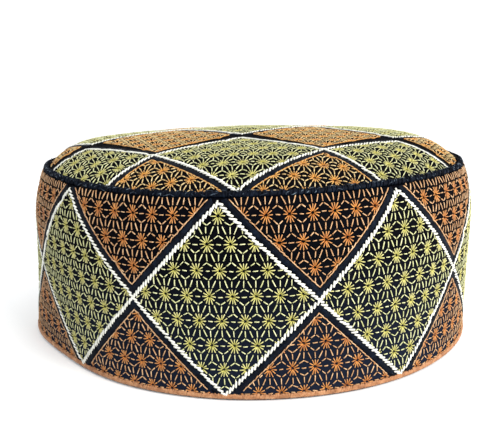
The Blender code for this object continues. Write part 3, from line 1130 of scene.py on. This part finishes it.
def seam_section(direction, angle, swell):
    """Point on the corded seam; angle 0 faces out and a quarter turn faces up."""
    radius = seam_outer(direction) - SEAM_SUNK - SEAM_HALF_WIDTH
    out = outward(direction)
    place = out * (radius + SEAM_HALF_WIDTH * swell * np.cos(angle))[..., None]
    place[..., 2] = seam_height(direction) + SEAM_HALF_HEIGHT * swell * np.sin(angle)
    normal = out * np.cos(angle)[..., None]
    normal[..., 2] = np.sin(angle)
    return place, normal


def make_seam():
    """Soft cord with dark overcast threads wound over it from the band to the crown, and pale flecks among them that
    are painted highlights for the threads' sheen.
    """
    direction = np.arange(SEAM_COLUMNS) * 2 * math.pi / SEAM_COLUMNS
    rows = []
    for side in range(SEAM_SIDES):
        angle = -2 * math.pi * side / SEAM_SIDES
        swell = 0.86 + 0.03 * np.sin(direction * 61 + side)
        rows.append(seam_section(direction, angle + 0 * direction, swell)[0])
    quads, uvs = wrap_faces(SEAM_SIDES, SEAM_COLUMNS, True)
    cord = add_mesh("seam_cord", np.concatenate(rows), [quads[:, ::-1]], [uvs[:, ::-1] * [1.2 * MM, MM]], navy_thread)
    wraps = wind_threads("seam_threads", SEAM_WRAPS, (-75, 155), 12, (-0.008, 0.026), 1.06, 0.42 * MM, navy_thread)
    # Painted highlight: pale flecks wound among the dark threads stand for their sheen
    sheen_flecks = wind_threads("seam_sheen_flecks", SHEEN_FLECK_WRAPS, (25, 62), 55, (-0.03, 0.04), 1.2, 0.17 * MM, sheen_fleck_thread)
    return cord, wraps, sheen_flecks


def wind_threads(name, count, span, stray, leans, swell, half_width, material):
    """Overcast threads wound over the seam between two angles of its section, each strayed by some degrees."""
    base = (np.arange(count) + rng.uniform(-0.45, 0.45, count)) * 2 * math.pi / count
    share = np.linspace(0, 1, 8)
    lean = rng.uniform(*leans, count)[:, None]
    direction = base[:, None] + lean * (share - 0.5)
    turned = rng.uniform(-stray, stray, count)[:, None]
    angle = np.radians(turned + span[0] + (span[1] - span[0]) * share)
    puff = swell * rng.uniform(0.94, 1.1, count)[:, None]
    rise = puff * np.array([0.72, 0.93, 0.99, 1.0, 1.0, 0.99, 0.93, 0.72])
    spines, normals = seam_section(direction, angle, rise)
    return thread_mesh(name, spines, normals, half_width * rng.uniform(0.6, 1.1, count), 0.5 * half_width, 5, material)


def make_hem():
    """Satin stitches side by side over the hem, a little uneven along their upper ends."""
    count = int(band_girths[0] / HEM_PITCH)
    share = (np.arange(count) + rng.uniform(-0.2, 0.2, count)) / count - 0.5
    low = HEM_LOW + rng.normal(size=count) * 0.05 * MM
    high = HEM_HIGH + rng.normal(size=count) * 0.16 * MM
    lean = 0.35 * MM / band_girths[0]
    lifts = np.array([-0.05, 0.30, 0.42, 0.42, 0.30, -0.05]) * MM
    spines, normals = spines_between(on_band, (share - lean, low), (share + lean, high), lifts)
    return thread_mesh("hem_satin", spines, normals, 0.32 * MM, 0.22 * MM, 5, hem_thread)


seam_cord, seam_threads, seam_sheen_flecks = make_seam()
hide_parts("crown_seam")
hem_satin = make_hem()
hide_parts("hem_border")


# Stage, light and camera

def make_floor():
    """Plain pale floor."""
    material, tree, shader, add = new_material("pale_floor")
    place = add("ShaderNodeTexCoord")
    noise = add("ShaderNodeTexNoise", {"Scale": 6.0, "Detail": 3.0})
    tree.links.new(place.outputs["Object"], noise.inputs["Vector"])
    ramp = ramp_between(add, [(0.95, 0.95, 0.95), (0.97, 0.97, 0.97)])
    tree.links.new(noise.outputs["Fac"], ramp.inputs["Fac"])
    tree.links.new(ramp.outputs["Color"], shader.inputs["Base Color"])
    shader.inputs["Roughness"].default_value = 0.9
    shader.inputs["Specular IOR Level"].default_value = 0.1
    mesh = bpy.data.meshes.new("floor")
    reach = 8.0
    mesh.from_pydata([(-reach, -reach, 0), (reach, -reach, 0), (reach, reach, 0), (-reach, reach, 0)], [],
                     [(0, 1, 2, 3)])
    mesh.materials.append(material)
    floor = bpy.data.objects.new("floor", mesh)
    bpy.context.scene.collection.objects.link(floor)


def add_light(name, place, target, size, power, colour):
    """Soft square light that faces the cap."""
    data = bpy.data.lights.new(name, "AREA")
    data.size = size
    data.energy = power
    data.color = colour
    light = bpy.data.objects.new(name, data)
    light.location = place
    light.rotation_euler = (Vector(target) - Vector(place)).to_track_quat("-Z", "Y").to_euler()
    bpy.context.scene.collection.objects.link(light)


def make_light():
    """White surroundings with a soft key light from above the camera."""
    world = bpy.data.worlds.new("studio")
    bpy.context.scene.world = world
    world.use_nodes = True
    background = world.node_tree.nodes["Background"]
    background.inputs["Color"].default_value = (1.0, 1.0, 1.0, 1.0)
    background.inputs["Strength"].default_value = 1.16
    add_light("key", (0.95, -0.85, 0.45), (0, 0, 0.04), 0.9, 32.0, (1.0, 0.98, 0.94))
    add_light("fill", (-0.9, -0.4, 0.35), (0, 0, 0.04), 0.9, 2.5, (0.65, 0.82, 1.0))
    scene = bpy.context.scene
    scene.view_settings.view_transform = "Standard"


def make_camera():
    """Camera at the photo's viewing angle, above the floor."""
    data = bpy.data.cameras.new("camera")
    data.sensor_width = SENSOR_WIDTH
    data.lens = FOCAL_PIXELS * SENSOR_WIDTH / IMAGE_WIDTH
    data.clip_start = 0.01
    camera = bpy.data.objects.new("camera", data)
    forward = Vector((0, math.cos(CAMERA_PITCH), -math.sin(CAMERA_PITCH)))
    level_right = Vector((1, 0, 0))
    level_up = level_right.cross(forward)
    right = level_right * math.cos(CAMERA_ROLL) + level_up * math.sin(CAMERA_ROLL)
    up = level_up * math.cos(CAMERA_ROLL) - level_right * math.sin(CAMERA_ROLL)
    turned = Matrix((right, up, -forward)).transposed().to_4x4()
    camera.matrix_world = Matrix.Translation(CAMERA_PLACE) @ turned
    bpy.context.scene.collection.objects.link(camera)
    bpy.context.scene.camera = camera


make_floor()
make_light()
make_camera()
